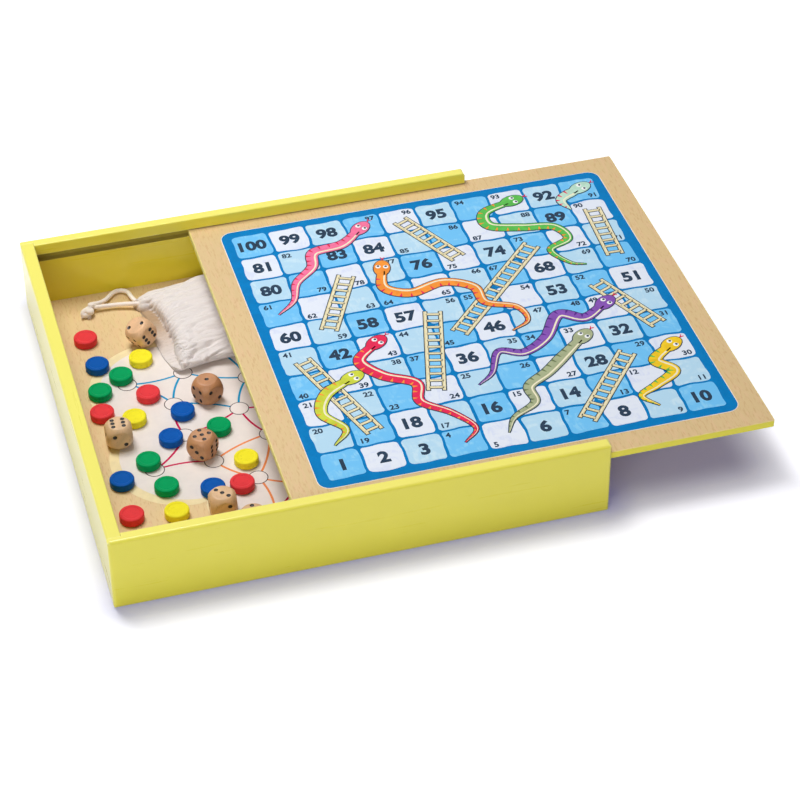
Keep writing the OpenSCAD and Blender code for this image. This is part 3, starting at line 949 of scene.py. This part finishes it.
def write_number(numbers, value, corner, far, paths):
    """A big number in the middle of a free square, or a small one in its freest corner."""
    def room(p):
        return min(distance_to_path(p, line) - half for line, half in paths)

    middle, digits = (corner + far) / 2, len(str(value))
    half_w, half_h = 3.1 * digits, 3.6
    spots = [middle + Vector((x, y)) for x in (-half_w, 0, half_w) for y in (-half_h, 0, half_h)]
    if min(room(p) for p in spots) > 0.3:
        numbers.number(value, middle, BIG_DIGIT, BIG_BOLD, 4, "navy")
        return
    inset_x, inset_y = 2.6 + 1.45 * digits, 4.2
    corners = [Vector((x, y)) for x in (corner.x + inset_x, far.x - inset_x)
               for y in (corner.y + inset_y, far.y - inset_y)]
    numbers.number(value, max(corners, key=room), SMALL_DIGIT, SMALL_BOLD, 4, "navy")


def draw_ladders(ladders, at):
    """Two rails and their rungs, each a navy bar under a pale one with a lit edge."""
    for foot, head in LADDERS:
        foot, head = at(*foot), at(*head)
        length, along = (head - foot).length, (head - foot).normalized()
        across = left_of(along) * LADDER_GAP / 2
        rungs = max(2, round((length - 4) / LADDER_RUNG_STEP))  # less one
        bars = []
        for k in range(rungs + 1):
            p = foot + along * (LADDER_END + k * (length - 2 * LADDER_END) / rungs)
            bars.append((p - across, p + across, LADDER_RUNG_W))
        for side in (-across, across):
            bars.append((foot + side, head + side, LADDER_RAIL_W))
        for a, b, width in bars:
            reach = (b - a).normalized() * OUTLINE
            ladders.ribbon([a - reach, b + reach], [width + 2 * OUTLINE] * 2, 5, "navy")
        for a, b, width in bars:
            ladders.ribbon([a, b], [width] * 2, 6, "ladder")
            lift, trim = Vector((0.18, 0.3)) * width, (b - a).normalized() * 0.5
            ladders.ribbon([a + trim + lift, b - trim + lift], [width * 0.3] * 2, 7,
                           "ladder_light")


def draw_snakes(snakes, at):
    """Plain snakes: a tapering body with a lit edge and cross bars, an oval head and a tongue."""
    for body, marks, way in SNAKES:
        line = flat_route([at(*p) for p in way], SNAKE_LENGTH_STEPS)
        n = len(line) - 1
        widths = [SNAKE_WIDTH * (0.62 + 0.38 * min(1, 5 * i / n)) * (1 - (i / n) ** 2.2) + 0.5
                  for i in range(n + 1)]
        ahead = (line[0] - line[min(4, n)]).normalized()
        aside, turn = left_of(ahead), math.atan2(ahead.y, ahead.x)
        nose = line[0] + ahead * 1.5
        fork = nose + ahead * 9
        snakes.ribbon([nose + ahead * 5, fork], [0.9, 0.7], 8, "red")
        for side in (-aside, aside):
            snakes.ribbon([fork, fork + ahead * 1.8 + side * 1.2], [0.7, 0.4], 8, "red")
        head_x, head_y = SNAKE_HEAD
        snakes.ribbon(line, [w + 2 * OUTLINE for w in widths], 8, "navy")
        snakes.disc(nose, head_x + OUTLINE, head_y + OUTLINE, turn, 8, "navy")
        snakes.ribbon(line, widths, 9, body)
        snakes.disc(nose, head_x, head_y, turn, 10, body)

        # Half the body's width to the left of each inner point of the line.
        flanks = {}
        for i in range(1, n):
            along = (line[i + 1] - line[i - 1]).normalized()
            flanks[i] = left_of(along) * widths[i] / 2
        for i in range(5, n - 2, 3):
            snakes.ribbon([line[i] - flanks[i], line[i] - flanks[i] * 0.15], [1.7, 0.3], 10, marks)
        snakes.ribbon([line[i] + flanks[i] * 0.54 for i in flanks],
                      [0.16 * widths[i] for i in flanks], 10, "ladder_light")
        for side in (-aside, aside):
            eye = nose + ahead * 1.2 + side * 2.3
            snakes.disc(eye, 1.6, 1.6, 0, 11, "eye", sides=20)
            snakes.disc(eye + ahead * 0.5, 0.8, 0.8, 0, 12, "navy", sides=14)


# ---- the floor's game board ----

def around(radius, degrees):
    a = math.radians(degrees)
    return Vector((radius * math.cos(a), radius * math.sin(a)))


def add_floor_print():
    """A petalled field with rings of spots joined by bowed lines in five colours."""
    low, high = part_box("base_panel")
    middle = Vector(((low.x + high.x) / 2, (low.y + high.y) / 2)) / MM
    inks = {
        "rim": printed_ink("field_rim", (242, 224, 178)),
        "field": printed_ink("field", (238, 228, 222), 0.02),
        "outline": printed_ink("spot_outline", (70, 56, 60), 0.1),
        "spot": printed_ink("spot", (240, 230, 225), 0.02),
    }
    for name, rgb in LINE_INKS.items():
        inks[name] = printed_ink("line_" + name, rgb)
    printing = Print("floor_print", high.z / MM, INK_T / 2, inks)

    def field(grow):
        outline = []
        for k in range(360):
            wave = abs(math.cos(math.radians(PETALS * (k - 22.5) / 2))) ** PETAL_SHAPE
            outline.append(middle + around(FIELD_R - FIELD_WAVE + 2 * FIELD_WAVE * wave + grow, k))
        return outline

    printing.plate(field(FIELD_RIM), 1, "rim")
    printing.plate(field(0), 2, "field")

    inner, outer, petal = [
        [(radius, 360 * (k + shift) / count) for k in range(count)]
        for (radius, count), shift in zip(FLOOR_RINGS, (0, 0.5, 0.5))
    ]
    lines = [((0, a), (r, a), 0.1) for r, a in inner]
    for ring in (inner, outer):
        lines += [(spot, ring[(k + 1) % len(ring)], -0.14) for k, spot in enumerate(ring)]
    for k, spot in enumerate(inner):
        lines += [(spot, outer[2 * k], 0.12), (spot, outer[2 * k - 1], -0.12)]
    for k, spot in enumerate(petal):
        lines += [(spot, outer[2 * k], -0.14), (spot, outer[2 * k + 1], 0.14)]
    for (r0, a0), (r1, a1), bow in lines:
        start, end = middle + around(r0, a0), middle + around(r1, a1)
        bend = (start + end) / 2 + left_of(end - start) * bow
        line = [start.lerp(bend, t / 12).lerp(bend.lerp(end, t / 12), t / 12) for t in range(13)]
        seat = (start + end) / 2 - middle
        sector = int(math.degrees(math.atan2(seat.y, seat.x)) % 360 // 36)
        printing.ribbon(line, [FLOOR_LINE_W] * len(line), 3, LINE_SECTORS[sector])
    for radius, angle in [(0, 0)] + inner + outer + petal:
        spot = middle + around(radius, angle)
        for inset, layer, ink in ((0, 4, "outline"), (SPOT_OUTLINE, 5, "spot")):
            r = FLOOR_SPOT_R - inset
            printing.disc(spot, r, r, 0, layer, ink, sides=48)
    printing.done("case", "printed_beech_floor")


# ---- the pouch ----

POUCH_START, POUCH_END = -72, 34
POUCH_CLEAR = 0.12  # how far over the floor its underside lies
# Points over the top, down each flank and underneath, and the sections along the pouch, which
# stand closer together at the mouth.
POUCH_POINTS, POUCH_SECTIONS, SECTION_CROWD = (250, 12, 14), 220, 1.3
POUCH_CLOSES = 0.86  # how far along it the hidden end begins to close
# The two sides where the pouch is widest, as [x, y].
NEAR_SIDE = [(-72, 40.4), (-60, 41), (-51, 42.4), (-43, 43.2), (-35, 43.8), (12, 45), (34, 52)]
FAR_SIDE = [(-72, 116.3), (-66, 115.4), (-58, 115.6), (-52, 116.4), (-42, 118.8), (-32, 121.4),
            (-10, 123), (12, 122), (24, 118), (34, 108)]
# The mouth's edge as [y, x], from the near corner to the corner that the drawstring leaves.
MOUTH = [(39.5, -61), (40.6, -64.6), (42.5, -66.2), (46.6, -67.6), (50, -68.4), (53, -69.2),
         (57, -70.2), (61, -70.9), (66, -71.4), (72, -72.1), (80, -72.7), (87, -72.7),
         (93, -72), (98, -71.8), (102, -72.6), (106, -74.4), (108, -76), (110, -77.3),
         (112, -77.9), (114, -77.5), (115.5, -75.5), (116.3, -72)]
# From the mouth's edge to the string, as [y, width].
HEM = [(39.5, 2.2), (43, 3.6), (47, 4.8), (50.5, 5.8), (54.4, 6.8), (58.4, 7.8), (63.6, 9.1),
       (68.3, 9.8), (74, 9.9), (80, 9.6), (85, 9), (92, 7.4), (100, 5.8), (107, 5.2),
       (109.5, 4.6), (111.5, 2.6), (116.3, 1.4)]
# The top's height over the floor: hem (0 to 1), and then by the distance from the string.
HEM_RISE = [(0, 0.5), (0.25, 1.0), (0.6, 1.5), (0.85, 2.0), (1, 2.8)]
BODY_RISE = [(0, 2.8), (0.5, 5.6), (1, 7.4), (2, 9), (4, 10.6), (9, 12.6), (17, 14),
             (32, 14.9), (50, 15.4), (110, 15.4)]
HEM_LIFT = [(39.5, 4.2), (43, 3.4), (47, 1.9), (51, 0.7), (55, 0), (120, 0)]
WIDEST = 0.38  # how far up the pouch is widest
TUCK = 0.2  # how much narrower it is where it rests on the floor
NEAR_CROWN, FAR_CROWN = 3.8, 2.2
NEAR_FLAT, NEAR_FLAT_REACH = 0.34, 17  # how much flatter the near side is, and how far in
# The cloth bunched round the drawstring's way out: middle, half widths and height.
BUNCH, BUNCH_X, BUNCH_Y, BUNCH_H = (-71.2, 110.4), 5.4, 5.8, 7
GATHER_PITCH, GATHER_DRIFT = 3.1, 2.4
# The hem's painted shade: the y where it sets in, over how far it grows, and its least.
HEM_SHADE_Y, HEM_SHADE_REACH, HEM_SHADE_LEAST = 52, 42, 0.12
CALM_Y = 84  # behind this the gathers are lower
# Swells in the cloth: features per mm along and round the pouch, seed, height and sink.
SWELLS = [(0.02, 0.13, 3.1, 0.8, 0.35), (0.035, 0.28, 6.4, 0.8, 0.35), (0.07, 0.6, 8.8, 0.35, 0)]
# Creases in the cloth: both ends, half the width, and depth.
CREASES = [
    ((-52.4, 48.4), (-54.4, 46), 1.3, 1.3), ((-54.4, 46), (-57.9, 43.4), 1.5, 1.3),
    ((-45.8, 43.4), (-36.9, 41.8), 1.5, 0.9), ((-62.2, 53.6), (-57.5, 52.9), 1.0, 0.9),
    ((-62.1, 61.7), (-56.5, 59.4), 1.0, 0.8), ((-49.3, 66.7), (-35.5, 61.2), 2.0, 0.8),
    ((-58, 58), (-50.6, 55.6), 1.1, 0.7), ((-60.1, 79.4), (-52.4, 75.8), 1.1, 0.4),
    ((-61.7, 73.5), (-54.4, 69.6), 1.1, 0.45), ((-52.6, 43.6), (-50.2, 42.8), 0.9, 0.9),
    ((-53.8, 63.9), (-44, 59.6), 1.4, 0.6), ((-44, 50), (-33, 47), 1.6, 0.5),
    ((-57, 92), (-46, 88), 1.5, 0.35), ((-52, 103), (-40, 100), 1.6, 0.35),
]


def along_table(table, at):
    for (a, va), (b, vb) in zip(table, table[1:]):
        if at <= b:
            return va + (vb - va) * max(0.0, at - a) / (b - a)
    return table[-1][1]


def unit(value):
    return min(1.0, max(0.0, value))


def noise_at(x, y, z):
    return noise.noise(Vector((x, y, z)))


def billow(x, y, z):
    """Noise folded over: rounded swells, 0 to about 1, with sharp valleys between them."""
    return min(1.2, 2.4 * abs(noise_at(x, y, z)))


def pouch_slices(top, side, under):
    """Round one section: the place across, 1 at the far side to -1 at the near one, and the
    height, 0 where the pouch is widest, 1 on top and -1 on the floor."""
    slices = []
    for k in range(top + 1):
        v = math.cos(math.pi * k / top)
        crown = FAR_CROWN if v > 0 else NEAR_CROWN
        slices.append((v, max(0.0, 1 - abs(v) ** crown) ** (1 / crown)))
    flank = [(1 - TUCK * (1 - math.cos(math.pi / 2 * k / side)), -math.sin(math.pi / 2 * k / side))
             for k in range(1, side + 1)]
    slices += [(-v, height) for v, height in flank]
    slices += [((1 - TUCK) * (2 * k / under - 1), -1) for k in range(1, under)]
    return slices + flank[::-1]


def bunched(x, y):
    return max(0.0, 1 - ((x - BUNCH[0]) / BUNCH_X) ** 2 - ((y - BUNCH[1]) / BUNCH_Y) ** 2)


def add_pouch():
    floor_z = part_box("base_panel")[1].z / MM + POUCH_CLEAR
    slices, along = pouch_slices(*POUCH_POINTS), POUCH_SECTIONS
    across = len(slices)
    grid = []
    for i in range(along + 1):
        t = (i / along) ** SECTION_CROWD
        spine = POUCH_START + (POUCH_END - POUCH_START) * t
        near, far = along_table(NEAR_SIDE, spine), along_table(FAR_SIDE, spine)
        row = []
        for v, height in slices:
            y = (near + far) / 2 + (far - near) / 2 * v
            x0, hem = along_table(MOUTH, y), along_table(HEM, y)
            x = x0 + (POUCH_END - 12 * abs(v) ** 5 - x0) * t
            past = x - x0 - hem
            if past < 0:
                rise = along_table(HEM_RISE, 1 + past / hem)
            else:
                rise = along_table(BODY_RISE, past)
            closing = max(0.0, t - POUCH_CLOSES) / (1 - POUCH_CLOSES)
            rise *= max(0.0, 1 - closing ** 2) ** 0.5
            lift = along_table(HEM_LIFT, y) * unit(1 - t / 0.2)
            widest = math.hypot(WIDEST * rise, lift)
            flat = NEAR_FLAT * math.exp(-((y - near) / NEAR_FLAT_REACH) ** 2) * unit(past / 12)
            crest = (1 - flat) * rise - WIDEST * rise
            z = widest + height * (crest if height > 0 else widest)
            if height > 0:
                z = max(z, BUNCH_H * bunched(x, y) ** 0.7)
            row.append(Vector((x, y, floor_z + z)))
        grid.append(row)
    shaped, hem_shade = crumpled(grid, across, along, floor_z)
    pouch = new_piece("pouch_muslin_bag", [p * MM for row in shaped for p in row],
                      skin(along + 1, across), [cotton_cloth()], "case")
    keep_values(pouch, "hem", hem_shade)
    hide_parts("pouch")


def crumpled(grid, across, along, floor_z):
    """Moves the cloth in and out along its own normal, wherever it faces up or sideways. Also
    gives each vertex how much painted shade the hem has there, more between the gathers."""
    shaped, hem_shade = [], []
    for i, row in enumerate(grid):
        out, girth = [], 0.0
        for k, p in enumerate(row):
            if k:
                girth += math.hypot(p.y - row[k - 1].y, p.z - row[k - 1].z)
            ahead = grid[min(i + 1, along)][k] - grid[max(i - 1, 0)][k]
            aside = row[(k + 1) % across] - row[k - 1]
            normal = aside.cross(ahead)
            normal = normal.normalized() if normal.length > 1e-9 else Vector((0, 0, 1))
            past = p.x - along_table(MOUTH, p.y) - along_table(HEM, p.y)
            wandering = girth + GATHER_DRIFT * noise_at(p.x * 0.05, girth * 0.08, 1.7)
            phase = wandering / GATHER_PITCH
            lobe = abs(math.sin(math.pi * phase)) ** 0.8
            # The hem's painted shade: more toward the back, none at the bunch, and stopping short
            # at the gathers' tips.
            hem_shading = min(1.0, max(HEM_SHADE_LEAST, (p.y - HEM_SHADE_Y) / HEM_SHADE_REACH))
            hem_shading *= max(0.0, 1 - 2.5 * bunched(p.x, p.y))
            hem_shade.append(hem_shading / (1 + math.exp(4 * (past - 0.6 + 1.5 * lobe))))
            if normal.z > -0.2:
                p = p + normal * cloth_relief(p, past, wandering, phase, lobe)
                p.z = max(p.z, floor_z)
            out.append(p)
        shaped.append(out)
    return shaped, hem_shade


def cloth_relief(p, past, girth, phase, lobe):
    """How far the cloth stands out, at a distance past the string: gathers, folds, crumples."""
    gather = math.floor(phase)
    size = 0.7 + 1.1 * abs(noise_at(gather * 0.77, 2.5, 0.3))
    if past > 1:
        fade = math.exp((1 - past) / (1.6 + 6 * abs(noise_at(gather * 1.31, 0.4, 4))))
    else:
        fade = 0.12 + 0.88 * math.exp(-((past - 1) / 1.5) ** 2)
    if p.y > CALM_Y:
        fade *= max(0.55, 1 - (p.y - CALM_Y) / 30)
    push = 2.3 * size * fade * lobe - 1.2 * fade
    body = unit(past / 8)
    for along, around_it, seed, height, sink in SWELLS:
        push += body * (height * billow(p.x * along, girth * around_it, seed) - sink)
    near = math.exp(-((p.x + 54) / 20) ** 2 - ((p.y - 50) / 14) ** 2)
    push += near * body * (0.6 * billow(p.x * 0.08 + 0.5, p.y * 0.1, 7.3) - 0.2)
    push += 0.12 * noise_at(p.x * 0.4, girth * 0.8, 5)
    for a, b, half_width, depth in CREASES:
        away = distance_to_path(p.xy, [Vector(a), Vector(b)]) / half_width
        if away < 3:
            push -= 1.5 * depth * min(1.0, 0.2 + body) * math.exp(-away * away)
    return push


# ---- the CAD pieces that stay ----

def finish_cad_nodes():
    yellow, pale_yellow = srgb(248, 238, 76), srgb(239, 230, 96)
    along_x, along_y = (14, 260, 260), (260, 14, 260)  # the grain of the two pairs of walls
    # The long walls' tops get a paler crest colour, a painted sheen, and their edges a larger
    # share of worn paint and painted highlight than the end walls.
    long_paint = painted_wood("yellow_paint_long", yellow, srgb(244, 234, 103), 0.7, along_x)
    end_paint = painted_wood("yellow_paint_end", pale_yellow, pale_yellow, 0.3, along_y)
    coats = {"front_wall": long_paint, "back_wall": long_paint, "left_end_wall": end_paint,
             "right_end_wall": end_paint, "base_panel": beech("beech_floor", srgb(228, 200, 148)),
             "lid_panel": lid_finish(yellow)}
    for colour, rgb in COUNTERS.items():
        coats["counter_" + colour] = turned_counter("counter_" + colour + "_paint", rgb)
    for name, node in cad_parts.items():
        coat = coats.get(name.rstrip("_12345"))
        if coat:
            for slot in node.material_slots:
                slot.material = coat


# ---- the start of everything ----

add_camera()
add_drawstring()
add_studio()
finish_cad_nodes()
add_dice()
add_board()
add_floor_print()
add_pouch()
